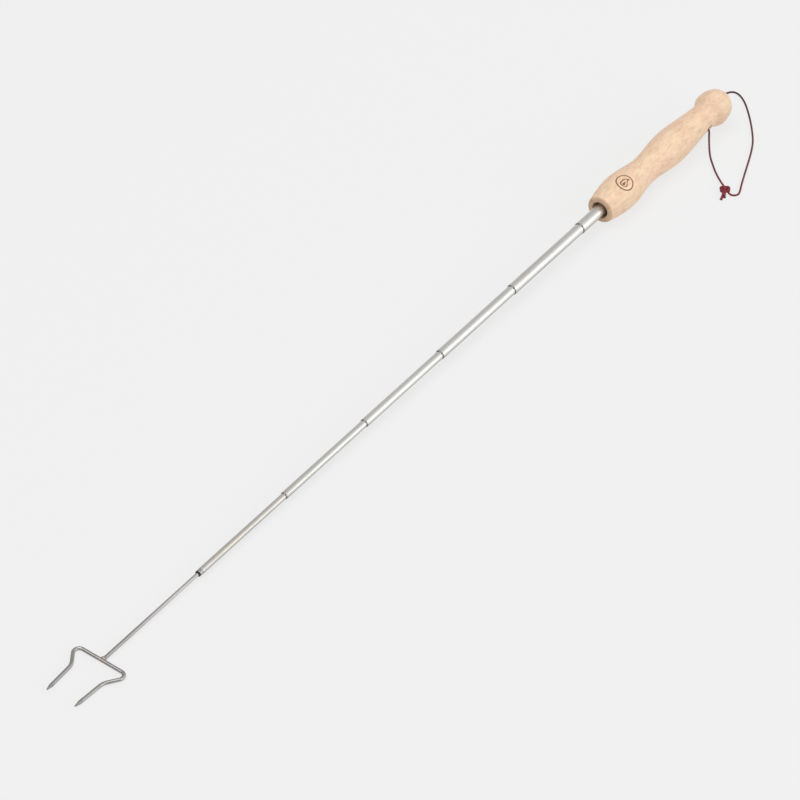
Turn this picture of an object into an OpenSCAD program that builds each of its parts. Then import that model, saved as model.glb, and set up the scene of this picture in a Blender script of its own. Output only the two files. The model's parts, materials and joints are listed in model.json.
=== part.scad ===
// Telescopic marshmallow roasting fork, pulled out to its full length.
// The origin is the centre of the flat that ends the handle's knob.
// +X runs along the shaft to the prong tips, +Z is up and the prongs lie in the XY plane.

/* [Handle] */
// Length of the turned wooden handle
handle_length = 188; // [186:1:200]
// Diameter of the handle's front rim
rim_d = 24; // [23:0.5:26]
// Diameter of the bulge behind the front rim
front_bulge_d = 31.2; // [29:0.2:34]
// Diameter of the waist between the two bulges
waist_d = 24; // [22:0.5:27]
// Diameter of the long rear bulge
rear_bulge_d = 30.2; // [28:0.2:33]
// Diameter of the neck that the cord passes through
neck_d = 23; // [22:0.5:25]
// Diameter of the knob that ends the handle
knob_d = 30.6; // [29:0.2:33]
// Diameter of the flat on the knob's end
end_flat_d = 15; // [8:1:18]
// Diameter of the recess around the shaft at the handle's front
recess_d = 14.4; // [12.6:0.2:15]
// Depth of the recess around the shaft
recess_depth = 8; // [5:0.5:12]

/* [Cord hole] */
// Diameter of the cord's hole through the neck
cord_hole_d = 4.4; // [4.2:0.1:5]
// Distance of the cord's hole from the handle's end
cord_hole_x = 37; // [37:0.5:38]
// Angle by which the hole slopes down towards +Y, in degrees
cord_hole_slope = 15; // [13:1:17]

/* [Telescope] */
// Length of each tube that shows when the fork is pulled out
stage_exposed = 95.4; // [94:0.2:110]
// Length of the fixed outer tube that shows in front of the handle
outer_exposed = 30.2; // [24:0.2:32]
// Outer diameter of the fixed outer tube
outer_tube_d = 10; // [10:0.1:10.6]
// Step in outer diameter from one tube to the next
tube_step = 1; // [0.9:0.02:1]
// Thickness of the tubes' wall
tube_wall = 0.25; // [0.2:0.01:0.25]
// Length of the first sliding tube that stays inside when pulled out
first_overlap = 11; // [10:0.5:14]
// Length by which each shut tube stands out of the one around it
tip_step = 1; // [0.6:0.1:1.4]
// Length of rod that shows when the fork is pulled out
rod_exposed = 101.8; // [98:0.2:103]
// Length of rod that shows when the fork is pushed shut
rod_shut = 8; // [6:0.5:12]

/* [Fork head] */
// Diameter of the rod and of the prong wire
wire_d = 2.8; // [2.4:0.1:3]
// Distance between the crossbar's two corners, along Y
corner_spread = 50.6; // [48:0.2:56]
// Distance between the prongs where they leave the slanted legs
prong_gap = 28; // [24:0.5:32]
// Distance between the two prong tips
tip_gap = 24.8; // [22:0.2:28]
// Distance from the crossbar to the bends where the prongs begin
leg_reach = 15.5; // [14:0.5:18]
// Distance from the crossbar to the prong tips
head_length = 42; // [38:1:60]
// Length of the tapered point of a prong
point_length = 5; // [3:0.5:7]

/* [Cord] */
// Diameter of the cord
cord_d = 1.7; // [1.6:0.1:2.2]

/* [Hidden] */
$fn = 96;

wood = [0.93, 0.80, 0.66];
steel = [0.76, 0.76, 0.74];
bronze = [0.80, 0.62, 0.36];
black = [0.06, 0.06, 0.06];
tinted_steel = [0.62, 0.52, 0.44];
dark_red = [0.42, 0.10, 0.12];

// Handle outline: places along the axis, from the handle's end
knob_x = 17;
neck_x = 28;
rear_bulge_x = 84;
waist_x = 0.646 * handle_length;
front_bulge_x = 0.838 * handle_length;
rim_round = 2.5;
mouth_round = 0.8;
rim_x = handle_length - rim_round;
curve_steps = 8;

// Cord hole mouths
mouth_extra = 2;
mouth_depth = 2;

// Telescope
first_tube = 2;
last_tube = 6;
rod_stage = 7;
outer_front = handle_length + outer_exposed;
gap = tube_step / 2 - tube_wall;
slide_clearance = 0.04;
bead_height = gap - 0.09;
bead_length = 1;
flange_length = 0.8;
lip_length = 0.8;
lip_clearance = 0.06;
stop_gap = 0.1;
seat_play = 0.1;
leaf_angle = 170;
plug_thickness = 5;
plug_gap = 0.3;
bush_depth = 5;
bush_nose = 1.5;
bush_clearance = 0.05;
nose_bevel = 0.25;
crimp_back = 1.4;
crimp_length = 1;
crimp_depth = 0.12;

// Fork head
wire_r = wire_d / 2;
corner_r = 4;
bend_r = 10;
bend_lap = 0.2;
bend_inset = 0.02;
tip_r = 0.4;
weld_r = 2.1;
weld_length = 3.6;
weld_back = 0.2;

// Cord: the route's centreline, a closed loop that lies on the surface under the fork
cord_sides = 8;
rings_per_point = 2;
knot_r = 3.9;
knot_h = 5.2;
knot_centre = [87.4, 58.4, -14.4];
knot_edge_r = 1.6;
tail_ends = [[99.2, 62, -15.7], [95.2, 63, -15.8]];
route = [
    [37, 0.6, -0.2], [37, 4.4, -1.4], [37, 7.5, -2.5], [37, 9.4, -3.5], [37.1, 10.7, -5],
    [37.4, 11.4, -7], [38.1, 11.9, -9.2], [39.8, 13.2, -12.2], [43.2, 15.7, -15], [48.6, 19.5, -16.5],
    [56, 25.2, -16.6], [62.5, 31.2, -16.5], [68.5, 37, -16.4], [74, 43, -16.2], [79, 49.2, -16],
    [83, 54.2, -15.2], [86.5, 58.5, -14.5], [88.4, 61.9, -15.2], [89, 65, -15.9], [87.6, 68, -16],
    [84.4, 69.3, -16.1], [79.5, 68, -16.1], [72.4, 65, -16.2], [59, 59.7, -16.5], [43.5, 53.8, -16.9],
    [27, 47.2, -17.2], [13.5, 40.6, -17.5], [-1, 31, -17.8], [-16.5, 19, -18.1], [-30.5, 6.4, -18.4],
    [-37.6, -3, -18.5], [-38.6, -9.8, -18.5], [-34, -13.6, -18.4], [-23, -16.4, -18.2], [-12, -18.8, -18],
    [0, -20.4, -17.8], [12, -20.6, -17.4], [22, -19.6, -16.3], [29.2, -18.3, -13.8], [33.6, -16.6, -10.4],
    [36, -15, -6.9], [36.9, -14.2, -3.7], [37, -13.5, -0.8], [37, -11.6, 1], [37, -8.7, 1.6],
    [37, -4.8, 1], [37, -0.6, 0.1]
];

// Radius of stage k: 1 is the outer tube and 7 is the slider on the rod
function stage_r(k) = (outer_tube_d - (k - 1) * tube_step) / 2;
// Place of the front end of tube k
function front_x(k) = outer_front + (k - 1) * stage_exposed;
// Length of stage k that stays inside the tube around it
function overlap(k) = k < rod_stage ? first_overlap + (k - first_tube) * tip_step
    : stage_exposed + overlap(last_tube) + rod_shut - rod_exposed;
// Place of the rear end of stage k
function rear_x(k) = front_x(k - 1) - overlap(k);
// Distance from the rear end of stage k to the front of its stop bead
function bead_front(k) = overlap(k) - stop_gap - (k < rod_stage ? lip_length : bush_depth);

weld_x = front_x(last_tube) + rod_exposed;
plug_face_x = outer_front + tip_step - stage_exposed - first_overlap - plug_gap;
outer_rear_x = plug_face_x - plug_thickness;

// Points of a smooth wave from one [x, r] station to the next, level at both
function wave(a, b) = [for (i = [0:curve_steps - 1])
    [a.x + (b.x - a.x) * i / curve_steps, a.y + (b.y - a.y) * (1 - cos(180 * i / curve_steps)) / 2]];
// Points of a quarter arc about centre c, radii [rx, rr], from angle a0 to a1
function arc(c, radii, a0, a1) = [for (i = [0:curve_steps])
    let(a = a0 + (a1 - a0) * i / curve_steps) [c.x + radii.x * sin(a), c.y + radii.y * cos(a)]];

// Half section of the handle, as [x, r] points from the end flat round to the bottom of the bore
function handle_section() =
    let(
        knob = [knob_x, knob_d / 2],
        neck = [neck_x, neck_d / 2],
        rear = [rear_bulge_x, rear_bulge_d / 2],
        waist = [waist_x, waist_d / 2],
        bulge = [front_bulge_x, front_bulge_d / 2],
        flat_r = end_flat_d / 2,
        bulge_to_rim = [for (i = [0:curve_steps - 1])
            let(t = i / curve_steps)
            [bulge.x + (rim_x - bulge.x) * t, rim_d / 2 + (bulge.y - rim_d / 2) * cos(90 * t)]]
    )
    concat(
        [[0, 0]],
        arc([knob_x, flat_r], [knob_x, knob.y - flat_r], -90, 0),
        [for (i = [1:curve_steps - 1]) wave(knob, neck)[i]],
        wave(neck, rear), wave(rear, waist), wave(waist, bulge), bulge_to_rim,
        arc([rim_x, rim_d / 2 - rim_round], [rim_round, rim_round], 0, 90),
        arc([handle_length - mouth_round, recess_d / 2 + mouth_round], [mouth_round, mouth_round], 90, 180),
        [[handle_length - recess_depth, recess_d / 2], [handle_length - recess_depth, outer_tube_d / 2],
            [outer_rear_x, outer_tube_d / 2], [outer_rear_x, 0]]
    );

// Turns a half section of [x, r] points about the X axis
module turned(points) {
    rotate([0, 90, 0])
        rotate_extrude()
            polygon([for (p = points) [p.y, p.x]]);
}

// A countersunk hole across the neck, sloping down towards +Y
module cord_hole() {
    surface_r = neck_d / 2 + 0.3;
    hole_r = cord_hole_d / 2;
    translate([cord_hole_x, 0, 0])
        rotate([-90 - cord_hole_slope, 0, 0]) {
            cylinder(h = 2 * surface_r + 6, r = hole_r, center = true);
            for (side = [0, 180])
                rotate([side, 0, 0])
                    translate([0, 0, surface_r - mouth_depth])
                        cylinder(h = 2 * mouth_depth, r1 = hole_r, r2 = hole_r + 2 * mouth_extra);
        }
}

module handle() {
    color(wood)
        difference() {
            turned(handle_section());
            cord_hole();
        }
}

// Tube k: a stop bead and a flange around the leaves' seat at the rear, a lip rolled in at the front
module section_tube(k) {
    r = stage_r(k);
    bore_r = r - tube_wall;
    x0 = rear_x(k);
    x1 = x0 + bead_front(k);
    front = front_x(k);
    lip_r = stage_r(k + 1) + lip_clearance;
    rear = [[x0, bore_r], [x0, r + bead_height], [x0 + flange_length, r + bead_height],
        [x0 + flange_length, r], [x1 - bead_length, r], [x1 - bead_length, r + bead_height],
        [x1, r + bead_height], [x1, r]];
    rolled_in = [[front, r], [front, lip_r], [front - lip_length, lip_r], [front - lip_length, bore_r]];
    crimped = [[front - crimp_back - crimp_length, r],
        [front - crimp_back - crimp_length / 2, r - crimp_depth], [front - crimp_back, r],
        [front, r], [front, bore_r]];
    color(steel)
        turned(concat(rear, k < last_tube ? rolled_in : crimped));
}

module outer_tube() {
    r = stage_r(1);
    lip_r = stage_r(first_tube) + lip_clearance;
    color(steel)
        turned([[outer_rear_x, r - tube_wall], [outer_rear_x, r], [outer_front, r], [outer_front, lip_r],
            [outer_front - lip_length, lip_r], [outer_front - lip_length, r - tube_wall]]);
}

// Closes the outer tube and stops the tubes when they are pushed in
module rear_plug() {
    color(black)
        turned([[outer_rear_x, 0], [outer_rear_x, stage_r(1) - tube_wall],
            [plug_face_x, stage_r(1) - tube_wall], [plug_face_x, 0]]);
}

// One of the two sprung half shells that sit on stage k and rub on the tube around it
module friction_leaf(k, turn) {
    inner_r = stage_r(k) + slide_clearance;
    outer_r = stage_r(k) + gap - slide_clearance;
    x0 = rear_x(k) + flange_length + seat_play;
    x1 = rear_x(k) + bead_front(k) - bead_length - seat_play;
    color(bronze)
        translate([x0, 0, 0])
            rotate([turn, 0, 0])
                rotate([0, 90, 0])
                    rotate([0, 0, 180 - leaf_angle / 2])
                        rotate_extrude(angle = leaf_angle)
                            translate([inner_r, 0])
                                square([outer_r - inner_r, x1 - x0]);
}

// The rod butts against the side of the prong wire
module rod() {
    color(steel)
        turned([[rear_x(rod_stage), 0], [rear_x(rod_stage), wire_r],
            [weld_x - wire_r, wire_r], [weld_x - wire_r, 0]]);
}

// Sleeve on the rod's rear end, which carries its leaves and stops against the bush
module rod_slider() {
    r = stage_r(rod_stage);
    x0 = rear_x(rod_stage);
    x1 = x0 + bead_front(rod_stage);
    color(steel)
        turned([[x0, wire_r], [x0, r + bead_height], [x0 + flange_length, r + bead_height],
            [x0 + flange_length, r], [x1 - bead_length, r], [x1 - bead_length, r + bead_height],
            [x1, r + bead_height], [x1, wire_r]]);
}

// Black guide bush pressed into the last tube, which the rod slides through
module rod_bush() {
    front = front_x(last_tube);
    hole_r = wire_r + bush_clearance;
    body_r = stage_r(last_tube) - tube_wall;
    color(black)
        turned([[front - bush_depth, hole_r], [front - bush_depth, body_r], [front + bush_nose - nose_bevel, body_r],
            [front + bush_nose, body_r - nose_bevel], [front + bush_nose, hole_r]]);
}

// Collar of weld around the rod's end, hollowed to fit the side of the prong wire
module weld_bead() {
    color(tinted_steel)
        difference() {
            turned([[weld_x - weld_length, wire_r], [weld_x - weld_length / 2, weld_r],
                [weld_x - weld_back, weld_r], [weld_x - weld_back, wire_r]]);
            translate([weld_x, 0, 0])
                rotate([90, 0, 0])
                    cylinder(h = corner_spread / 2, r = wire_r, center = true);
        }
}

// Corner points of the prong wire, from one tip to the other
prong_corners = [
    [weld_x + head_length, tip_gap / 2], [weld_x + leg_reach, prong_gap / 2], [weld_x, corner_spread / 2],
    [weld_x, -corner_spread / 2], [weld_x + leg_reach, -prong_gap / 2], [weld_x + head_length, -tip_gap / 2]
];
prong_radii = [0, bend_r, corner_r, corner_r, bend_r, 0];
last_corner = len(prong_corners) - 1;

function unit(v) = v / norm(v);
function heading(v) = atan2(v.y, v.x);
// Angle turned through at corner i, and the length that its bend takes from each side
function turn_at(i) =
    let(
        before = unit(prong_corners[i] - prong_corners[i - 1]),
        after = unit(prong_corners[i + 1] - prong_corners[i])
    )
    acos(before * after);
function trim_at(i) = i == 0 || i == last_corner ? 0 : prong_radii[i] * tan(turn_at(i) / 2);

// Straight length of wire that leaves corner i; the first and the last end in a tapered point
module wire_straight(i) {
    start = prong_corners[i];
    span = prong_corners[i + 1] - start;
    x0 = trim_at(i);
    x1 = norm(span) - trim_at(i + 1);
    translate(start)
        rotate([0, 0, heading(span)])
            turned(concat(
                i == 0 ? [[x0, 0], [x0, tip_r], [x0 + point_length, wire_r]] : [[x0, 0], [x0, wire_r]],
                i == last_corner - 1 ? [[x1 - point_length, wire_r], [x1, tip_r], [x1, 0]] : [[x1, wire_r], [x1, 0]]
            ));
}

// Bend at corner i, whose ends run a little way into the straights
module wire_bend(i) {
    corner = prong_corners[i];
    before = unit(corner - prong_corners[i - 1]);
    after = unit(prong_corners[i + 1] - corner);
    side = sign(cross(before, after));
    entry = corner - before * trim_at(i);
    leave = corner + after * trim_at(i);
    centre = entry + side * prong_radii[i] * [-before.y, before.x];
    first = side > 0 ? entry - centre : leave - centre;
    lap_angle = asin(bend_lap / prong_radii[i]);
    translate(centre)
        rotate([0, 0, heading(first) - lap_angle])
            rotate_extrude(angle = turn_at(i) + 2 * lap_angle)
                translate([prong_radii[i], 0])
                    circle(r = wire_r - bend_inset);
}

module prong_wire() {
    color(steel)
        union() {
            for (i = [0:last_corner - 1])
                wire_straight(i);
            for (i = [1:last_corner - 1])
                wire_bend(i);
        }
}

// Point of a smooth curve through the route, t of the way from point i to point i + 1
function route_at(i, t) =
    let(
        last = len(route) - 1,
        p0 = route[max(i - 1, 0)],
        p1 = route[i],
        p2 = route[min(i + 1, last)],
        p3 = route[min(i + 2, last)]
    )
    0.5 * (2 * p1 + (p2 - p0) * t + (2 * p0 - 5 * p1 + 4 * p2 - p3) * t * t
        + (3 * p1 - p0 - 3 * p2 + p3) * t * t * t);

centreline = concat(
    [for (i = [0:len(route) - 2]) for (j = [0:rings_per_point - 1]) route_at(i, j / rings_per_point)],
    [route[len(route) - 1]]
);

// Ring of points around the centreline at its point i
function ring(i) =
    let(
        last = len(centreline) - 1,
        way = unit(centreline[min(i + 1, last)] - centreline[max(i - 1, 0)]),
        side = unit(cross(way, [0, 0, 1])),
        up = cross(side, way)
    )
    [for (s = [0:cord_sides - 1])
        let(a = 360 * (s + 0.5) / cord_sides)
        centreline[i] + cord_d / 2 * (side * cos(a) + up * sin(a))];

module cord_loop() {
    rings = len(centreline);
    points = [for (i = [0:rings - 1]) each ring(i)];
    walls = [for (i = [0:rings - 2]) for (s = [0:cord_sides - 1])
        let(a = i * cord_sides + s, b = i * cord_sides + (s + 1) % cord_sides)
        [a, b, b + cord_sides, a + cord_sides]];
    start_cap = [for (s = [cord_sides - 1:-1:0]) s];
    end_cap = [for (s = [0:cord_sides - 1]) (rings - 1) * cord_sides + s];
    color(dark_red)
        polyhedron(points, concat([start_cap], walls, [end_cap]), convexity = 10);
}

// The knot's outer shape, with the cord's two cut tails
module cord_knot() {
    color(dark_red)
        union() {
            translate(knot_centre - [0, 0, knot_h / 2])
                cylinder(h = knot_h, r1 = knot_r - knot_edge_r / 2, r2 = knot_r - knot_edge_r);
            for (end = tail_ends)
                knot_tail(knot_centre, end);
        }
}

module knot_tail(start, end) {
    way = end - start;
    translate(start)
        rotate([0, acos(way.z / norm(way)), heading(way)])
            cylinder(h = norm(way), r = cord_d / 2);
}

handle();
outer_tube();
rear_plug();
for (k = [first_tube:last_tube])
    section_tube(k);
rod();
rod_slider();
rod_bush();
weld_bead();
prong_wire();
for (k = [first_tube:rod_stage])
    friction_leaf(k, 0);
for (k = [first_tube:rod_stage])
    friction_leaf(k, 180);
cord_loop();
cord_knot();
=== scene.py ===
# Telescopic marshmallow roasting fork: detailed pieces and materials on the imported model's frame.
import json
import math

import bmesh
import bpy
from mathutils import Matrix, Vector, noise


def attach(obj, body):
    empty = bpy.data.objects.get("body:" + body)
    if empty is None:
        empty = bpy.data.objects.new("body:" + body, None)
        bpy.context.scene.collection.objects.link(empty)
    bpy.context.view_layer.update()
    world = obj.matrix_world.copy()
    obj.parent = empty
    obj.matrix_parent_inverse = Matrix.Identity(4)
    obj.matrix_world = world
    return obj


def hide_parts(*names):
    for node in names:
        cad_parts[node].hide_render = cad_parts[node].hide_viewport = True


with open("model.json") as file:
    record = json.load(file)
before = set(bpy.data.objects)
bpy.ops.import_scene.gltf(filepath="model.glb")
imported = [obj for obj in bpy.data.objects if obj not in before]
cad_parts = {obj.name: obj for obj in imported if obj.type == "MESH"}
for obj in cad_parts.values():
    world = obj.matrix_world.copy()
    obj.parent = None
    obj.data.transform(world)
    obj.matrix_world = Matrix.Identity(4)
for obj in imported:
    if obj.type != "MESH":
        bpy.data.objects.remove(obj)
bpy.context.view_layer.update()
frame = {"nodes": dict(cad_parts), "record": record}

MM = 0.001
SCENE = bpy.context.scene

# The handle in millimetres, along +X from its end: bore, front recess, and the cord's hole across the neck
HANDLE_LENGTH = 188
BORE_REAR, BORE_R = 107.5, 5.03
RECESS_REAR, RECESS_R = 180, 7.2
HOLE_X, HOLE_SLOPE = 37, math.radians(15)
FRONT_X, FRONT_R = 157.54, 15.6
KNOB_X, KNOB_R = 17, 15.3

# The telescope: front edges, stages and tube wall, and the bent wire of the head
OUTER_FRONT = 218.2
STAGE = 95.4
LAST_TUBE = 6
ROD_STAGE = 7
TUBE_WALL = 0.25
WELD_X = 797
WIRE_R = 1.4

# The cord's centreline in millimetres, as in the CAD source
ROUTE = [
    (37, 0.6, -0.2), (37, 4.4, -1.4), (37, 7.5, -2.5), (37, 9.4, -3.5), (37.1, 10.7, -5),
    (37.4, 11.4, -7), (38.1, 11.9, -9.2), (39.8, 13.2, -12.2), (43.2, 15.7, -15), (48.6, 19.5, -16.5),
    (56, 25.2, -16.6), (62.5, 31.2, -16.5), (68.5, 37, -16.4), (74, 43, -16.2), (79, 49.2, -16),
    (83, 54.2, -15.2), (86.5, 58.5, -14.5), (88.4, 61.9, -15.2), (89, 65, -15.9), (87.6, 68, -16),
    (84.4, 69.3, -16.1), (79.5, 68, -16.1), (72.4, 65, -16.2), (59, 59.7, -16.5), (43.5, 53.8, -16.9),
    (27, 47.2, -17.2), (13.5, 40.6, -17.5), (-1, 31, -17.8), (-16.5, 19, -18.1), (-30.5, 6.4, -18.4),
    (-37.6, -3, -18.5), (-38.6, -9.8, -18.5), (-34, -13.6, -18.4), (-23, -16.4, -18.2), (-12, -18.8, -18),
    (0, -20.4, -17.8), (12, -20.6, -17.4), (22, -19.6, -16.3), (29.2, -18.3, -13.8), (33.6, -16.6, -10.4),
    (36, -15, -6.9), (36.9, -14.2, -3.7), (37, -13.5, -0.8), (37, -11.6, 1), (37, -8.7, 1.6),
    (37, -4.8, 1), (37, -0.6, 0.1),
]
CORD_D = 1.7
KNOT_CENTRE = Vector((87.9, 58.3, -14.1))
TAIL_ENDS = [Vector((99.4, 61.9, -15.6)), Vector((95.5, 62.7, -15.7))]

# The floor touches the front bulge and the prong tips, so it slopes a little. Sizes of floor and backdrop
FLOOR_X, FLOOR_Z, FLOOR_SLOPE = 157.5, -15.6, 0.021
FLOOR_HALF = 4000
DOME_R = 5.0


# ---------------------------------------------------------------- camera

def make_camera():
    data = bpy.data.cameras.new("camera")
    data.sensor_width = 36
    data.lens = 122.95
    data.clip_start, data.clip_end = 0.1, 20
    cam = bpy.data.objects.new("camera", data)
    SCENE.collection.objects.link(cam)
    cam.location = (1.680996, 0.903565, 1.368439)
    back = Vector((0.59575, 0.44051, 0.67159))
    cam.rotation_mode = "QUATERNION"
    cam.rotation_quaternion = (-back).to_track_quat("-Z", "Y")
    SCENE.camera = cam


make_camera()


# ---------------------------------------------------------------- mesh helpers

def mesh_object(name, verts, faces, sharp=40):
    """A smooth-shaded mesh from points in millimetres."""
    mesh = bpy.data.meshes.new(name)
    mesh.from_pydata([Vector(v) * MM for v in verts], [], faces)
    obj = bpy.data.objects.new(name, mesh)
    SCENE.collection.objects.link(obj)
    tidy = bmesh.new()
    tidy.from_mesh(mesh)
    bmesh.ops.remove_doubles(tidy, verts=tidy.verts, dist=1e-7)
    bmesh.ops.recalc_face_normals(tidy, faces=tidy.faces)
    tidy.to_mesh(mesh)
    tidy.free()
    mesh.shade_smooth()
    mesh.set_sharp_from_angle(angle=math.radians(sharp))
    return obj


def lathe(name, profile, segments=96, wobble=None, sharp=40):
    """Turns a closed outline of (x, r) points about the X axis. wobble(x, a) changes the radius."""
    verts, rings = [], []
    for x, r in profile:
        if r < 1e-6:
            rings.append([len(verts)])
            verts.append((x, 0, 0))
            continue
        rings.append(list(range(len(verts), len(verts) + segments)))
        for s in range(segments):
            a = 2 * math.pi * s / segments
            q = r + (wobble(x, r, a) if wobble else 0)
            verts.append((x, q * math.cos(a), q * math.sin(a)))
    faces = []
    closed = len(rings[0]) > 1
    for i in range(len(rings) - (0 if closed else 1)):
        a, b = rings[i], rings[(i + 1) % len(rings)]
        for s in range(segments):
            t = (s + 1) % segments
            if len(a) == 1 and len(b) == 1:
                break
            if len(a) == 1:
                faces.append((a[0], b[s], b[t]))
            elif len(b) == 1:
                faces.append((a[s], b[0], a[t]))
            else:
                faces.append((a[s], b[s], b[t], a[t]))
    return mesh_object(name, verts, faces, sharp)


def arc(cx, cr, rx, rr, a0, a1, steps):
    """Points of an elliptic arc in a profile, from angle a0 to a1 in degrees."""
    out = []
    for i in range(steps + 1):
        a = math.radians(a0 + (a1 - a0) * i / steps)
        out.append((cx + rx * math.sin(a), cr + rr * math.cos(a)))
    return out


def spline(points, step):
    """A Catmull-Rom curve through points, in steps of about that length."""
    pts = [Vector(p) for p in points]
    out = []
    for i in range(len(pts) - 1):
        p0, p1 = pts[max(i - 1, 0)], pts[i]
        p2, p3 = pts[i + 1], pts[min(i + 2, len(pts) - 1)]
        count = max(2, round((p2 - p1).length / step))
        for j in range(count):
            t = j / count
            out.append(0.5 * (2 * p1 + (p2 - p0) * t + (2 * p0 - 5 * p1 + 4 * p2 - p3) * t * t
                              + (3 * p1 - p0 - 3 * p2 + p3) * t ** 3))
    out.append(pts[-1])
    return out


def sweep_mesh(path, radius, segments, verts, faces, radii=None):
    """Adds a closed tube along path. radius(s, a) is its radius at distance s and angle a."""
    base = len(verts)
    last = len(path) - 1
    normal = None
    s = 0.0
    for i, p in enumerate(path):
        way = (path[min(i + 1, last)] - path[max(i - 1, 0)]).normalized()
        if normal is None:
            up = Vector((0, 0, 1)) if abs(way.z) < 0.9 else Vector((0, 1, 0))
            normal = way.cross(up).normalized()
        else:
            normal = (normal - way * normal.dot(way)).normalized()
            s += (p - path[i - 1]).length
        side = way.cross(normal)
        for k in range(segments):
            a = 2 * math.pi * k / segments
            r = radius(s, a)
            verts.append(p + r * (normal * math.cos(a) + side * math.sin(a)))
            if radii is not None:
                radii.append(r)
    for i in range(last):
        for k in range(segments):
            a, b = base + i * segments + k, base + i * segments + (k + 1) % segments
            faces.append((a, b, b + segments, a + segments))
    for end, ring in ((path[0], base), (path[-1], base + last * segments)):
        verts.append(end)
        if radii is not None:
            radii.append(0.0)
        for k in range(segments):
            faces.append((len(verts) - 1, ring + k, ring + (k + 1) % segments))


def smooth(t):
    """A smooth step from 0 to 1."""
    t = min(max(t, 0.0), 1.0)
    return t * t * (3 - 2 * t)


def apply_modifiers(obj):
    """Turns an object's modifiers into its mesh, and returns it."""
    mesh = bpy.data.meshes.new_from_object(obj.evaluated_get(bpy.context.evaluated_depsgraph_get()))
    obj.modifiers.clear()
    obj.data = mesh
    return mesh


def write_attribute(mesh, name, values):
    """Keeps one number for each point, for the material to read."""
    mesh.attributes.new(name, "FLOAT", "POINT").data.foreach_set("value", values)


def place(obj, body, slot, *nodes):
    """Puts a piece on its body, in the place of the CAD nodes that it stands for."""
    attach(obj, body)
    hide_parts(*nodes)
    obj.data.materials.clear()
    obj.data.materials.append(MATERIALS[slot])
    return obj


# ---------------------------------------------------------------- materials

class Shader:
    """A Principled material and short ways to add nodes to it."""

    def __init__(self, name, **values):
        self.material = bpy.data.materials.new(name)
        self.material.use_nodes = True
        self.tree = self.material.node_tree
        self.main = self.tree.nodes["Principled BSDF"]
        for socket, value in values.items():
            self.main.inputs[socket.replace("_", " ")].default_value = value
        places = self.tree.nodes.new("ShaderNodeTexCoord").outputs
        self.coords, self.normal = places["Object"], places["Normal"]

    def base_colour(self):
        """The colour that is linked so far."""
        return self.main.inputs["Base Color"].links[0].from_socket

    def node(self, kind, out=0, settings=None, **inputs):
        n = self.tree.nodes.new("ShaderNode" + kind)
        for key, value in (settings or {}).items():
            setattr(n, key, value)
        for key, value in inputs.items():
            numbered = key[0] == "i" and key[1:].isdigit()
            socket = n.inputs[int(key[1:]) if numbered else key.replace("_", " ")]
            if isinstance(value, bpy.types.NodeSocket):
                self.tree.links.new(value, socket)
            else:
                socket.default_value = value
        return n.outputs[out]

    def link(self, value, socket):
        self.tree.links.new(value, self.main.inputs[socket])

    def stretch(self, x, y, z, turn=(0, 0, 0)):
        return self.node("Mapping", i0=self.coords, Scale=(x, y, z), Rotation=turn)

    def noise(self, where, scale=1.0, detail=3.0, rough=0.5):
        return self.node("TexNoise", i0=where, Scale=scale, Detail=detail, Roughness=rough)

    def math(self, operation, a, b=0.0):
        return self.node("Math", settings={"operation": operation}, i0=a, i1=b)

    def distance(self, a, b):
        return self.node("VectorMath", out=1, settings={"operation": "DISTANCE"}, i0=a, i1=b)

    def axis(self, index, vector=None):
        """One coordinate of vector, or of the point itself: 0 is X, 1 is Y and 2 is Z."""
        return self.node("SeparateXYZ", index, i0=vector or self.coords)

    def span(self, value, low, high, to_low=0.0, to_high=1.0):
        """value, smoothly mapped from low..high on to to_low..to_high."""
        return self.node("MapRange", settings={"interpolation_type": "SMOOTHSTEP"}, Value=value,
                         From_Min=low, From_Max=high, To_Min=to_low, To_Max=to_high)

    def mix(self, factor, a, b, blend="MIX"):
        n = self.tree.nodes.new("ShaderNodeMix")
        n.data_type = "RGBA"
        n.blend_type = blend
        for index, value in ((0, factor), (6, a), (7, b)):
            if isinstance(value, bpy.types.NodeSocket):
                self.tree.links.new(value, n.inputs[index])
            else:
                n.inputs[index].default_value = value
        return n.outputs[2]

    def attribute(self, name):
        return self.node("Attribute", out=2, settings={"attribute_name": name})

    def bump(self, height, distance, strength=1.0):
        """A bump of distance metres. Each call adds to the ones before it."""
        before = self.main.inputs["Normal"]
        inputs = {"Height": height, "Distance": distance, "Strength": strength}
        if before.is_linked:
            inputs["Normal"] = before.links[0].from_socket
        self.link(self.node("Bump", **inputs), "Normal")


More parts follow.
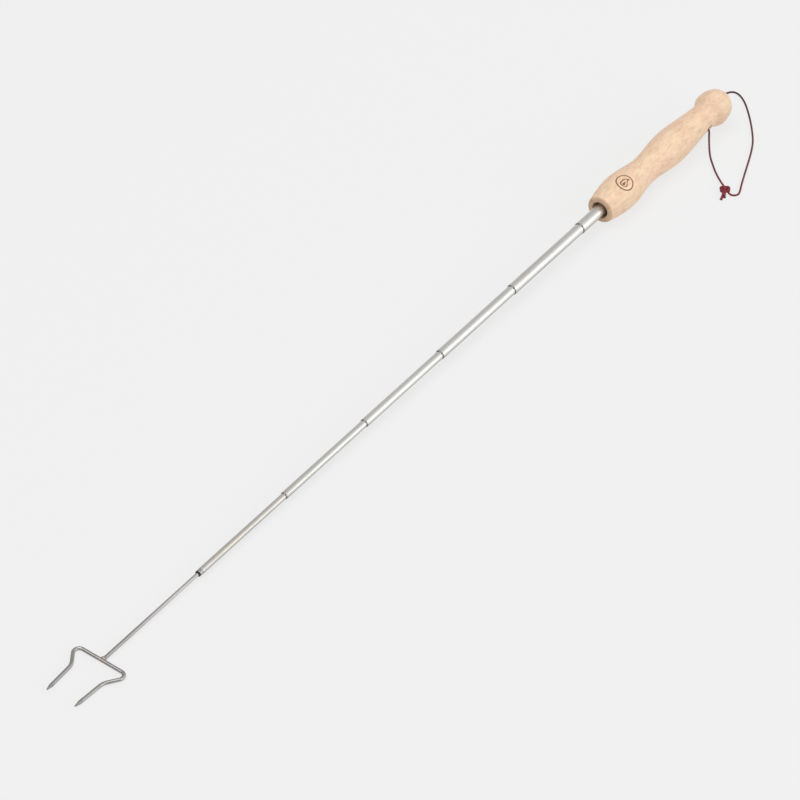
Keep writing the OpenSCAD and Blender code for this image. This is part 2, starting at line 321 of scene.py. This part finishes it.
def wood():
    """Pale turned beech with growth rings, lengthwise grain and short dark flecks."""
    s = Shader("wood_beech", Roughness=0.52, Specular_IOR_Level=0.35)
    drift = s.noise(s.stretch(9, 60, 60), 1.0, 3, 0.55)
    bent = s.node("VectorMath", settings={"operation": "MULTIPLY_ADD"}, i0=drift, i1=(0.004, 0.004, 0.004),
                  i2=s.stretch(0.045, 1, 1))
    from_pith = s.distance(bent, (0.006, -0.021, -0.034))
    ring = s.math("SINE", s.math("MULTIPLY", from_pith, 2900.0))
    late = s.span(ring, 0.35, 1.0)
    tone = s.noise(s.stretch(38, 95, 95), 1.0, 3, 0.5)
    grain = s.noise(s.stretch(60, 900, 900), 1.0, 3, 0.6)
    fibre = s.noise(s.stretch(260, 3600, 3600), 1.0, 2, 0.6)
    fleck = s.span(s.noise(s.stretch(210, 1500, 1500), 1.0, 1, 0.4), 0.66, 0.75)
    colour = s.mix(s.span(tone, 0.34, 0.66), (0.795, 0.555, 0.405, 1), (0.795, 0.61, 0.415, 1))
    mottle = s.noise(s.stretch(130, 300, 300), 1.0, 4, 0.62)
    colour = s.mix(s.span(mottle, 0.46, 0.72, 0.0, 0.6), colour, (0.60, 0.415, 0.28, 1))
    colour = s.mix(s.span(mottle, 0.44, 0.28, 0.0, 0.5), colour, (0.87, 0.69, 0.51, 1))
    colour = s.mix(s.math("MULTIPLY", late, 0.20), colour, (0.66, 0.405, 0.235, 1))
    colour = s.mix(s.span(grain, 0.40, 0.72, 0.0, 0.32), colour, (0.64, 0.41, 0.25, 1))
    colour = s.mix(s.math("MULTIPLY", fleck, 0.5), colour, (0.40, 0.22, 0.125, 1))
    colour = s.mix(s.span(fibre, 0.55, 0.8, 0.0, 0.22), colour, (0.95, 0.74, 0.54, 1))
    # Darker brown where the surface faces along the shaft is end grain and painted shade; in the front
    # recess it is painted shade.
    end = s.attribute("end_grain_and_painted_shade")
    pores = s.span(s.noise(s.stretch(1500, 1500, 1500), 1.0, 2, 0.6), 0.42, 0.66)
    patchy = s.span(s.noise(s.stretch(210, 210, 210), 1.0, 4, 0.6), 0.3, 0.7, 0.3, 0.85)
    colour = s.mix(s.math("MULTIPLY", end, patchy), colour, (0.52, 0.33, 0.215, 1))
    colour = s.mix(s.math("MULTIPLY", s.math("MULTIPLY", end, pores), 0.35), colour, (0.34, 0.20, 0.12, 1))
    burn = s.attribute("burn")
    uneven = s.math("MULTIPLY", s.math("SUBTRACT", grain, 0.5), 0.5)
    scorch = s.span(s.math("ADD", burn, uneven), 0.25, 0.85)
    colour = s.mix(s.span(burn, 0.0, 0.5, 0.0, 0.35), colour, (0.50, 0.29, 0.15, 1))
    colour = s.mix(scorch, colour, (0.185, 0.085, 0.042, 1))
    s.link(colour, "Base Color")
    s.link(s.span(grain, 0.3, 0.75, 0.46, 0.62), "Roughness")
    turning = s.noise(s.stretch(2400, 30, 30), 1.0, 2, 0.6)
    s.bump(turning, 0.000015, 0.5)
    s.bump(s.math("SUBTRACT", fibre, s.math("MULTIPLY", fleck, 0.9)), 0.00005, 0.6)
    return s.material


def steel(name, colour, dark, rough, lines=(30, 5200)):
    """Satin stainless steel with drawing lines along the shaft, faint warm smudges and small scratches."""
    s = Shader(name, Metallic=1.0)
    drawn = s.noise(s.stretch(lines[0], lines[1], lines[1]), 1.0, 2, 0.6)
    smudge = s.noise(s.stretch(45, 110, 110), 1.0, 4, 0.6)
    scratch = s.span(s.noise(s.stretch(190, 7000, 7000, (0, 0, 0.25)), 1.0, 0, 0.0), 0.72, 0.8)
    tint = s.mix(s.span(smudge, 0.35, 0.7, 0.0, 0.55), colour, dark)
    warm = s.noise(s.stretch(28, 60, 60), 1.0, 3, 0.55)
    tint = s.mix(s.span(warm, 0.48, 0.68, 0.0, 0.3), tint, (1.0, 0.94, 0.84, 1), "MULTIPLY")
    s.link(s.mix(s.span(drawn, 0.4, 0.75, 0.0, 0.2), tint, dark), "Base Color")
    worn = s.span(smudge, 0.3, 0.75, rough, rough + 0.06)
    s.link(s.math("ADD", worn, s.math("MULTIPLY", scratch, 0.12)), "Roughness")
    s.bump(s.math("SUBTRACT", drawn, s.math("MULTIPLY", scratch, 0.7)), 0.000006, 0.3)
    return s


def tube_steel():
    """Drawn tube with painted shade: greyer on its underside and towards the fork end, and a grey line of
    grime and painted shade at each rolled-in front edge.
    """
    s = steel("steel_tube", (0.84, 0.825, 0.80, 1), (0.72, 0.705, 0.68, 1), 0.28)
    edge_unevenness = s.noise(s.stretch(700, 900, 900), 1.0, 4, 0.6)
    before = s.base_colour()
    # A grey line of grime and painted shade at each rolled front edge, and painted shade over the last
    # tube's crimp.
    edge_grime_and_shade = s.math("MULTIPLY", s.attribute("edge_grime_and_shade"), s.span(edge_unevenness, 0.3, 0.6, 0.82, 1.0))
    # Painted shade: the tubes turn greyer towards the fork end.
    painted_shade_colour = s.mix(s.span(s.axis(0), 0.46, 0.68), before, (0.84, 0.825, 0.795, 1), "MULTIPLY")
    # Painted shade: the underside of each tube is greyer.
    painted_underside_shade = s.span(s.axis(2, s.normal), 0.22, -0.02)
    painted_shade_colour = s.mix(painted_underside_shade, painted_shade_colour, (0.56, 0.55, 0.545, 1), "MULTIPLY")
    s.link(s.mix(edge_grime_and_shade, painted_shade_colour, (0.17, 0.165, 0.16, 1)), "Base Color")
    return s.material


def heat_tint(s, reach, strength):
    """Straw to brown to blue-grey colours of heated steel around the weld, over reach metres."""
    uneven = s.math("SUBTRACT", s.noise(s.stretch(420, 420, 420), 1.0, 3, 0.6), 0.5)
    spread = s.math("ADD", s.distance(s.coords, (WELD_X * MM, 0, 0)), s.math("MULTIPLY", uneven, 0.0035))
    tint = s.base_colour()
    for start, full, amount, colour in (
            (1.0, 0.45, 0.75, (0.55, 0.46, 0.36, 1)),
            (0.62, 0.3, 0.85, (0.33, 0.25, 0.20, 1)),
            (0.34, 0.12, 0.6, (0.27, 0.24, 0.25, 1))):
        tint = s.mix(s.span(spread, start * reach, full * reach, 0.0, amount * strength), tint, colour)
    s.link(tint, "Base Color")


def wire_steel():
    """Bright rod that darkens into the fire-worn bent wire, with soot on the tips."""
    s = steel("steel_wire", (0.60, 0.59, 0.575, 1), (0.47, 0.46, 0.45, 1), 0.33, (60, 2600))
    head = s.span(s.axis(0), 0.70, 0.79)
    s.link(s.mix(head, s.base_colour(), (0.70, 0.69, 0.68, 1), "MULTIPLY"), "Base Color")
    heat_tint(s, 0.005, 0.3)
    soot = s.noise(s.stretch(300, 500, 500), 1.0, 4, 0.65)
    near_tip = s.math("MULTIPLY", s.attribute("tip"), s.span(soot, 0.25, 0.6, 0.45, 1.0))
    before = s.base_colour()
    s.link(s.mix(s.math("MULTIPLY", near_tip, 0.75), before, (0.16, 0.14, 0.13, 1)), "Base Color")
    return s.material


def weld_steel():
    s = steel("steel_weld", (0.45, 0.415, 0.39, 1), (0.33, 0.295, 0.27, 1), 0.38)
    heat_tint(s, 0.0045, 0.2)
    s.bump(s.noise(s.stretch(1500, 1500, 1500), 1.0, 4, 0.7), 0.00012, 0.8)
    return s.material


def bronze():
    return steel("leaf_bronze", (0.70, 0.46, 0.21, 1), (0.50, 0.31, 0.14, 1), 0.3).material


def black_plastic():
    """Moulded black nylon with a fine grain and faint patches of wear."""
    s = Shader("plastic_black", Specular_IOR_Level=0.4)
    fine = s.noise(s.stretch(5200, 5200, 5200), 1.0, 3, 0.6)
    wear = s.noise(s.stretch(600, 600, 600), 1.0, 3, 0.6)
    s.link(s.mix(s.span(wear, 0.45, 0.75), (0.012, 0.012, 0.012, 1), (0.032, 0.031, 0.03, 1)), "Base Color")
    s.link(s.span(wear, 0.3, 0.7, 0.42, 0.6), "Roughness")
    s.bump(fine, 0.00002, 0.6)
    return s.material


def cord_fabric():
    """Dark red waxed cord with fine fibres, redder at the knot, nearly black behind the knob with painted
    shadow, and with painted shade in the grooves between the strands.
    """
    s = Shader("cord_red", Sheen_Weight=0.12, Sheen_Roughness=0.5, Specular_IOR_Level=0.3)
    fibre = s.noise(s.stretch(4200, 4200, 4200), 1.0, 3, 0.7)
    tone = s.noise(s.stretch(120, 120, 120), 1.0, 3, 0.55)
    groove_shade = s.attribute("painted_groove_shade")
    from_knot = s.distance(s.coords, tuple(KNOT_CENTRE * MM))
    colour = s.mix(s.span(tone, 0.3, 0.7), (0.165, 0.036, 0.046, 1), (0.085, 0.020, 0.027, 1))
    colour = s.mix(s.span(from_knot, 0.028, 0.006, 0.0, 0.9), colour, (0.22, 0.010, 0.018, 1))
    # Painted shadow: nearly black where the cord lies behind the knob.
    colour = s.mix(s.span(s.axis(0), 0.01, -0.02, 0.0, 0.6), colour, (0.028, 0.010, 0.013, 1))
    colour = s.mix(s.span(fibre, 0.45, 0.8, 0.0, 0.3), colour, (0.34, 0.08, 0.09, 1))
    # Painted shade in the grooves between the strands.
    colour = s.mix(s.math("MULTIPLY", groove_shade, 0.85), colour, (0.03, 0.005, 0.008, 1))
    s.link(colour, "Base Color")
    s.link(s.span(fibre, 0.3, 0.7, 0.5, 0.72), "Roughness")
    s.bump(fibre, 0.00006, 0.7)
    return s.material


MATERIALS = {
    "wood": wood(),
    "steel_tube": tube_steel(),
    "steel_wire": wire_steel(),
    "weld_steel": weld_steel(),
    "leaf_bronze": bronze(),
    "black_plastic": black_plastic(),
    "cord": cord_fabric(),
}


# ---------------------------------------------------------------- wooden handle

# The burnt mark's place and wrapping radius, its depth, its ring, and half the width of its lines
MARK_X, MARK_ANGLE, MARK_R = 160.5, math.radians(68.5), 15.5
MARK_DEPTH = 0.16
RING_R, RING_LINE, FLAME_LINE = 7.4, 0.5, 0.42
HANDLE_SEGMENTS = 320
FINE_STEP, COARSE_STEP = 0.2, 1.3


def drop(p, q, low, r, high):
    """Distance in mm outside a leaning drop: a disc of radius r at height low, with its point at high."""
    p = abs(p - 0.6 * math.sin(0.8 * q))
    q -= low
    height = high - low
    b = r / height
    a = math.sqrt(1 - b * b)
    k = q * a - p * b
    if k < 0:
        return math.hypot(p, q) - r
    if k > a * height:
        return math.hypot(p, q - height)
    return p * a + q * b - r


def burn_at(x, angle):
    """How burnt the handle is there, from 0 to 1: a plain flame inside a ring."""
    q = MARK_X - x
    p = ((angle - MARK_ANGLE + math.pi) % (2 * math.pi) - math.pi) * MARK_R
    d = math.hypot(p, q)
    if d > 9:
        return 0.0
    outer = abs(drop(p, q, -1.7, 2.9, 5.2)) - FLAME_LINE
    inner = drop(p, q, -2.5, 1.15, 0.9)
    return 1 - smooth((min(abs(d - RING_R) - RING_LINE, outer, inner) + 0.14) / 0.36)


def handle_radius(x):
    """Outer radius of the handle between the knob's widest place and the front rim."""
    stations = [(KNOB_X, KNOB_R), (28, 11.5), (84, 15.1), (121.45, 12), (FRONT_X, FRONT_R)]
    for (x0, r0), (x1, r1) in zip(stations, stations[1:]):
        if x <= x1:
            return r0 + (r1 - r0) * (1 - math.cos(math.pi * (x - x0) / (x1 - x0))) / 2
    return 12 + 3.6 * math.cos(math.pi / 2 * (x - FRONT_X) / 27.96)


def handle_wobble(x, r, a):
    """Small unevenness of the turned wood, with faint tool lines, and the burnt mark's depth."""
    if (r < 8.3 and x > 170) or x < 0.01 or x > 187.9:
        return 0.0
    n = noise.noise(Vector((x * 0.035, 1.4 * math.cos(a), 1.4 * math.sin(a))))
    turned = 0.012 * math.sin(x * 1.7) * (0.5 + noise.noise(Vector((x * 0.2, 3, 7))))
    return 0.07 * n + turned - MARK_DEPTH * burn_at(x, a)


def make_handle():
    profile = [(0, 0), (0, 2.4), (0, 4.8), (0.02, 6.6)]
    profile += arc(KNOB_X, KNOB_R - 7.8, KNOB_X, 7.8, -86, 0, 40)
    x, rim = float(KNOB_X), HANDLE_LENGTH - 2.6
    while x < 185.2:
        x += FINE_STEP if MARK_X - 8.3 < x < MARK_X + 8.1 else COARSE_STEP
        profile.append((min(x, rim), handle_radius(min(x, rim))))
    profile += arc(HANDLE_LENGTH - 2.5, 9.5, 2.5, 2.5, 0, 90, 14)
    profile += [(HANDLE_LENGTH, 9.1), (HANDLE_LENGTH, 8.5)]
    profile += arc(HANDLE_LENGTH - 0.8, RECESS_R + 0.8, 0.8, 0.8, 90, 180, 7)
    profile += [(x, RECESS_R) for x in (186, 184, 182)]
    profile += arc(RECESS_REAR + 0.5, RECESS_R - 0.5, -0.5, 0.5, 0, 90, 4)
    profile += [(RECESS_REAR, 5.6), (RECESS_REAR, BORE_R), (BORE_REAR, BORE_R), (BORE_REAR, 0)]
    handle = lathe("turned_handle", profile, HANDLE_SEGMENTS, handle_wobble, 50)

    flare = [(-14, 7.6), (-12.8, 5.35), (-12.1, 4.45), (-11.5, 3.85), (-10.8, 3.15), (-10.2, 2.62),
             (-9.7, 2.32), (-9, 2.22), (-4, 2.2)]
    flare = [(-14, 0)] + flare + [(-x, r) for x, r in reversed(flare)] + [(14, 0)]
    cutter = lathe("cutter", flare, 72)
    along = Vector((0, math.cos(HOLE_SLOPE), -math.sin(HOLE_SLOPE)))
    turn = Vector((1, 0, 0)).rotation_difference(along).to_matrix().to_4x4()
    cutter.data.transform(Matrix.Translation(Vector((HOLE_X, 0, 0)) * MM) @ turn)
    cut = handle.modifiers.new("hole", "BOOLEAN")
    cut.object, cut.operation, cut.solver = cutter, "DIFFERENCE", "MANIFOLD"
    mesh = apply_modifiers(handle)
    bpy.data.objects.remove(cutter)
    mesh.polygons.foreach_set("material_index", [0] * len(mesh.polygons))
    mesh.shade_smooth()
    mesh.set_sharp_from_angle(angle=math.radians(38))

    # End grain and painted shade darken where the surface faces along the shaft, less on the knob than on
    # the front rim, and painted shade fills the front recess
    grain_and_shade, burns = [], []
    for v in mesh.vertices:
        x, y, z = v.co / MM
        r = math.hypot(y, z)
        facing = smooth((abs(v.normal.x) - 0.3) / 0.5)
        if x < 60:
            facing *= 0.45
        grain_and_shade.append(max(facing, 0.9) if r < RECESS_R + 0.6 and x > 170 else facing)
        burns.append(burn_at(x, math.atan2(z, y)) if r > 12 else 0.0)
    write_attribute(mesh, "end_grain_and_painted_shade", grain_and_shade)
    write_attribute(mesh, "burn", burns)
    place(handle, "handle_grip", "wood", "handle")


make_handle()


# ---------------------------------------------------------------- telescope

def stage_r(k):
    """Outer radius of tube k."""
    return (11 - k) / 2


def front_x(k):
    """Where tube k's front edge is."""
    return OUTER_FRONT + (k - 1) * STAGE


def overlap(k):
    """How much of stage k stays inside the tube before it."""
    return 9 + k if k < ROD_STAGE else 16.6


def tube_profile(k):
    """Outline of tube k: stop bead and leaf flange at the rear, rolled edge at the front."""
    r, front, lip = stage_r(k), front_x(k), stage_r(k + 1) + 0.06
    bore = r - TUBE_WALL
    if k == 1:
        rear = [(BORE_REAR, bore), (BORE_REAR, r)]
    else:
        x0 = front_x(k - 1) - overlap(k)
        x1 = x0 + overlap(k) - 0.9
        high = r + 0.16
        rear = [(x0, bore), (x0, high - 0.06), (x0 + 0.06, high), (x0 + 0.74, high),
                (x0 + 0.8, high - 0.06), (x0 + 0.8, r), (x1 - 1, r), (x1 - 1, high - 0.06),
                (x1 - 0.94, high), (x1 - 0.06, high), (x1, high - 0.06), (x1, r)]
    if k < LAST_TUBE:
        nose = [(-2.2, 0), (-1.5, 0), (-1.25, -0.02), (-1, -0.06), (-0.75, -0.12), (-0.5, -0.2),
                (-0.28, -0.28), (-0.1, -0.36), (-0.02, -0.4), (0, -0.43)]
        inside = [(front - 0.03, lip), (front - 0.7, lip), (front - 0.8, lip + 0.03), (front - 0.8, bore)]
    else:
        nose = [(-3.9, 0), (-3.6, -0.02), (-3.3, -0.08), (-3, -0.14), (-2.6, -0.17), (-1.6, -0.17),
                (-1, -0.18), (-0.7, -0.16), (-0.4, -0.14), (-0.2, -0.16), (-0.06, -0.2), (0, -0.24)]
        inside = [(front, bore)]
    length = [(rear[-1][0] + (front - 4 - rear[-1][0]) * i / 24, r) for i in range(1, 24)]
    return rear + length + [(front + x, r + dr) for x, dr in nose] + inside


def edge_grime_and_shade_at(k, x):
    """How grey tube k is at x: a line of grime and painted shade at the rolled edge, and a wider band of
    painted shade over the crimp on the last tube.
    """
    behind = front_x(k) - x
    line = smooth((1.6 - behind) / 0.8)
    band = 0.42 * smooth((4 - behind) / 0.9) if k == LAST_TUBE else 0.0
    return max(line if k < LAST_TUBE else 0.5 * line, band)


for k in range(1, LAST_TUBE + 1):
    name = "outer_tube" if k == 1 else f"tube_{k}"
    tube = lathe(f"drawn_{name}", tube_profile(k), 96, sharp=50)
    # Grime and painted shade at the front edges, for the material.
    write_attribute(tube.data, "edge_grime_and_shade", [edge_grime_and_shade_at(k, v.co.x / MM) for v in tube.data.vertices])
    place(tube, "handle_grip" if k == 1 else f"section_{k}", "steel_tube", name)

last_front = front_x(LAST_TUBE)
bush = [(last_front - 5, 1.45), (last_front - 5, 2.25), (last_front, 2.25)]
bush += [(last_front + 0.6, 2.24)] + arc(last_front + 0.75, 1.69, 0.55, 0.55, 0, 80, 7)
bush += [(last_front + 1.3, 1.6)] + arc(last_front + 1.2, 1.55, 0.1, 0.1, 90, 180, 3)
place(lathe("guide_bush", bush, 72, sharp=60), "section_6", "black_plastic", "rod_bush")

rod_rear = last_front - overlap(ROD_STAGE)
rod_end = WELD_X - WIRE_R
rod = [(rod_rear, 0), (rod_rear, 1.25), (rod_rear + 0.15, WIRE_R)]
rod += [(rod_rear + 0.15 + (rod_end - rod_rear - 0.15) * i / 40, WIRE_R) for i in range(1, 41)]
rod += [(rod_end, 0)]
place(lathe("slide_rod", rod, 64, sharp=60), "fork", "steel_wire", "rod")


# ---------------------------------------------------------------- fork head

def rounded_path(corners, radii, step):
    """Points along a polyline whose inner corners are rounded to radii."""
    pts = [Vector((*c, 0)) for c in corners]
    stops = [pts[0]]
    for i in range(1, len(pts) - 1):
        before, after = (pts[i] - pts[i - 1]).normalized(), (pts[i + 1] - pts[i]).normalized()
        turn = before.angle(after)
        trim = radii[i] * math.tan(turn / 2)
        side = 1 if before.cross(after).z > 0 else -1
        entry = pts[i] - before * trim
        centre = entry + side * radii[i] * Vector((-before.y, before.x, 0))
        count = max(8, round(radii[i] * turn / step * 3))
        for j in range(count + 1):
            stops.append(centre + Matrix.Rotation(side * turn * j / count, 3, "Z") @ (entry - centre))
    stops.append(pts[-1])
    out = [stops[0]]
    for a, b in zip(stops, stops[1:]):
        count = max(1, round((b - a).length / step))
        out += [a + (b - a) * j / count for j in range(1, count + 1)]
    return out


def make_prongs():
    """The bent wire: a crossbar, two slanted legs and two prongs with ground points."""
    half = [(WELD_X + 42, 12.4), (WELD_X + 15.5, 14), (WELD_X, 25.3)]
    corners = half + [(x, -y) for x, y in reversed(half)]
    path = rounded_path(corners, [0, 10, 4, 4, 10, 0], 0.5)
    total = sum((b - a).length for a, b in zip(path, path[1:]))

    def radius(s, a):
        end = min(s, total - s)
        taper = smooth(end / 5) * 0.35 + min(end / 5, 1) * 0.65
        point = math.sqrt(min(end / 0.35, 1))
        r = (0.42 + (WIRE_R - 0.42) * taper) * (0.25 + 0.75 * point)
        facet = 0.02 * math.cos(4 * a + 0.6) * (1 - smooth((end - 4) / 4))
        dent = 0.045 * math.exp(-((end - 15.5) / 0.5) ** 2) * (0.5 + 0.5 * math.cos(2 * a))
        return r + facet - dent

    verts, faces = [], []
    sweep_mesh(path, radius, 32, verts, faces)
    wire = mesh_object("bent_prong_wire", verts, faces, 60)
    soot_from = WELD_X + 33.5
    write_attribute(wire.data, "tip", [smooth((v.co.x / MM - soot_from) / 5.5) for v in wire.data.vertices])
    place(wire, "fork", "steel_wire", "prong_wire")


def make_weld():
    """A rippled bead of several lumps melted together."""
    blobs = bmesh.new()
    lumps = [((-3.0, 0, 0), (1.1, 1.62, 1.62)), ((-2.1, 0, 0), (1.5, 1.95, 1.9)),
             ((-1.3, 0.9, 0), (1.0, 1.7, 1.5)), ((-1.3, -0.9, 0), (1.0, 1.7, 1.5)),
             ((-1.5, 0.2, 0.7), (1.2, 1.2, 1.2)), ((-1.6, -0.3, -0.7), (1.2, 1.3, 1.2))]
    for centre, size in lumps:
        ball = bmesh.ops.create_icosphere(blobs, subdivisions=4, radius=1.0)
        for v in ball["verts"]:
            v.co = Vector([c * s for c, s in zip(v.co, size)]) + Vector(centre) + Vector((WELD_X, 0, 0))
            v.co *= MM
    mesh = bpy.data.meshes.new("weld_bead_metal")
    blobs.to_mesh(mesh)
    blobs.free()
    weld = bpy.data.objects.new("weld_bead_metal", mesh)
    SCENE.collection.objects.link(weld)
    remesh = weld.modifiers.new("join", "REMESH")
    remesh.mode, remesh.voxel_size = "VOXEL", 0.11 * MM
    relax = weld.modifiers.new("relax", "SMOOTH")
    relax.factor, relax.iterations = 0.6, 8
    mesh = apply_modifiers(weld)
    for v, n in [(v, v.normal.copy()) for v in mesh.vertices]:
        p = v.co / MM
        ripple = 0.07 * math.sin(3.4 * p.x + 2.2 * noise.noise(p * 0.8))
        v.co += n * MM * (ripple + 0.06 * noise.noise(p * 2.1))
    mesh.shade_smooth()
    place(weld, "fork", "weld_steel", "weld_bead")


make_prongs()
make_weld()


# ---------------------------------------------------------------- cord and knot

STRANDS = 3
LAY_LENGTH = 7.5
GROOVE = 0.115
KNOT_STRAND = 2.15
KNOT_SIZE = 2.8


def laid(size, turn=0.0):
    """Radius of a cord of three twisted strands, size mm across."""
    def radius(s, a):
        wave = abs(math.cos(STRANDS / 2 * (a - turn - 2 * math.pi * s / LAY_LENGTH)))
        return size / 2 * (1 - GROOVE + GROOVE * wave ** 0.7)
    return radius


def write_groove_shade(mesh, radii, size):
    """Marks how deep each point lies between the strands, for the material to paint shade there."""
    write_attribute(mesh, "painted_groove_shade", [smooth((size / 2 - r) / (GROOVE * size / 2)) for r in radii])


def make_cord():
    path = spline(ROUTE, 0.5)
    verts, faces, radii = [], [], []
    sweep_mesh(path, laid(CORD_D), 18, verts, faces, radii)
    cord = mesh_object("cord_hanging_loop", verts, faces, 80)
    write_groove_shade(cord.data, radii, CORD_D)
    return place(cord, "handle_grip", "cord", "cord_loop"), path


def make_knot():
    """An overhand knot tied with both strands, and their two cut tails."""
    ahead = Vector((0.80, 0.60, 0))
    across = Vector((-0.60, 0.80, 0))
    up = Vector((0, 0, 1))
    verts, faces, radii = [], [], []
    for lane, tail in ((1, TAIL_ENDS[0]), (-1, TAIL_ENDS[1])):
        turns = []
        tilt = math.radians(20) * lane
        for i in range(29):
            t = math.radians(-80 + 120 * lane + i * 430 / 28)
            ring = KNOT_SIZE * (1 - 0.10 * math.cos(1.5 * t))
            out = math.sin(t) * ring
            wide = across * 1.25 * math.cos(tilt) + up * math.sin(tilt)
            turns.append(KNOT_CENTRE + ahead * math.cos(t) * ring + wide * out)
        away = (tail - KNOT_CENTRE).normalized()
        turns += [KNOT_CENTRE + up * 1.7 + away * 0.4, KNOT_CENTRE + away * 4.2 + up * 0.6,
                  KNOT_CENTRE.lerp(tail, 0.72), tail]
        path = spline(turns, 0.35)
        total = sum((b - a).length for a, b in zip(path, path[1:]))
        body = laid(KNOT_STRAND, lane)

        def radius(s, a, body=body, total=total):
            fray = 1 + 0.16 * smooth((s - total + 1.2) / 1.2)
            return body(s, a) * fray

        sweep_mesh(path, radius, 18, verts, faces, radii)
    knot = mesh_object("cord_tied_knot", verts, faces, 80)
    write_groove_shade(knot.data, radii, KNOT_STRAND)
    return place(knot, "handle_grip", "cord", "cord_knot")


cord, cord_path = make_cord()
knot = make_knot()


# ---------------------------------------------------------------- CAD parts that stay

slots = {part["node"]: part["material_slot"] for part in frame["record"]["subparts"]}
leaves = [f"leaf_{k}_{side}" for k in range(2, ROD_STAGE + 1) for side in ("upper", "lower")]
for name in ["rear_plug", "rod_slider"] + leaves:
    node = frame["nodes"][name]
    node.data.materials.clear()
    node.data.materials.append(MATERIALS[slots[name]])


# ---------------------------------------------------------------- floor and light

def make_floor():
    mesh = bpy.data.meshes.new("floor")
    corners = [(x * FLOOR_HALF, y * FLOOR_HALF) for x, y in ((-1, -1), (1, -1), (1, 1), (-1, 1))]
    points = [Vector((FLOOR_X + x, y, FLOOR_Z + FLOOR_SLOPE * x)) * MM for x, y in corners]
    mesh.from_pydata(points, [], [(0, 1, 2, 3)])
    floor = bpy.data.objects.new("floor", mesh)
    SCENE.collection.objects.link(floor)
    s = Shader("pale_floor", Base_Color=(0.12, 0.12, 0.12, 1), Roughness=0.9, Specular_IOR_Level=0.0,
               Emission_Color=(1, 1, 1, 1), Emission_Strength=0.737)
    mesh.materials.append(s.material)


def make_backdrop():
    """A pale dome that only the camera sees, so that every view has the same plain background."""
    dome = bmesh.new()
    bmesh.ops.create_uvsphere(dome, u_segments=48, v_segments=24, radius=DOME_R)
    mesh = bpy.data.meshes.new("backdrop")
    dome.to_mesh(mesh)
    dome.free()
    backdrop = bpy.data.objects.new("backdrop", mesh)
    SCENE.collection.objects.link(backdrop)
    s = Shader("pale_backdrop", Base_Color=(0, 0, 0, 1), Roughness=1.0, Specular_IOR_Level=0.0,
               Emission_Color=(1, 1, 1, 1), Emission_Strength=0.87)
    mesh.materials.append(s.material)
    backdrop.visible_diffuse = backdrop.visible_glossy = backdrop.visible_shadow = False


def area_light(name, where, size, power):
    """A white rectangular softbox that faces the fork."""
    data = bpy.data.lights.new(name, "AREA")
    data.shape, data.size, data.size_y = "RECTANGLE", size[0], size[1]
    data.energy = power
    light = bpy.data.objects.new(name, data)
    SCENE.collection.objects.link(light)
    light.location = where
    light.rotation_mode = "QUATERNION"
    light.rotation_quaternion = (Vector((0.4, 0, 0)) - Vector(where)).to_track_quat("-Z", "Y")


# Light from all round, and softboxes that add to it: direction, cosines of their edge and core, strength
BASE_LIGHT = 0.53
LIGHT_LOBES = [
    ((-0.6, 0.75, 0.28), 0.5, 0.97, 0.45),
    ((0.34, -0.05, 0.94), 0.8, 0.96, 2.6),
    ((0.97, 0, -0.1), -0.15, 0.75, -0.36),
]


def make_world():
    """A softly lit studio: softboxes beside the handle and above, and a dim side towards the prongs."""
    world = bpy.data.worlds.new("studio")
    world.use_nodes = True
    tree = world.node_tree
    way = tree.nodes.new("ShaderNodeTexCoord").outputs["Generated"]

    def lobe(direction, low, high, amount):
        dot = tree.nodes.new("ShaderNodeVectorMath")
        dot.operation = "DOT_PRODUCT"
        tree.links.new(way, dot.inputs[0])
        dot.inputs[1].default_value = Vector(direction).normalized()
        span = tree.nodes.new("ShaderNodeMapRange")
        span.interpolation_type = "SMOOTHSTEP"
        tree.links.new(dot.outputs["Value"], span.inputs["Value"])
        for socket, value in (("From Min", low), ("From Max", high), ("To Min", 0.0), ("To Max", amount)):
            span.inputs[socket].default_value = value
        return span.outputs["Result"]

    total = None
    for direction, low, high, amount in LIGHT_LOBES:
        add = tree.nodes.new("ShaderNodeMath")
        tree.links.new(lobe(direction, low, high, amount), add.inputs[0])
        add.inputs[1].default_value = BASE_LIGHT
        if total:
            tree.links.new(total, add.inputs[1])
        total = add.outputs[0]
    background = tree.nodes["Background"].inputs
    background["Color"].default_value = (1, 1, 1, 1)
    tree.links.new(total, background["Strength"])
    SCENE.world = world


make_floor()
make_backdrop()
make_world()
area_light("key", (-1.5, 1.95, 0.8), (1.3, 1.0), 5.5)
area_light("side", (0.6, 2.2, 0.9), (1.4, 1.0), 11)
SCENE.view_settings.view_transform = "Standard"
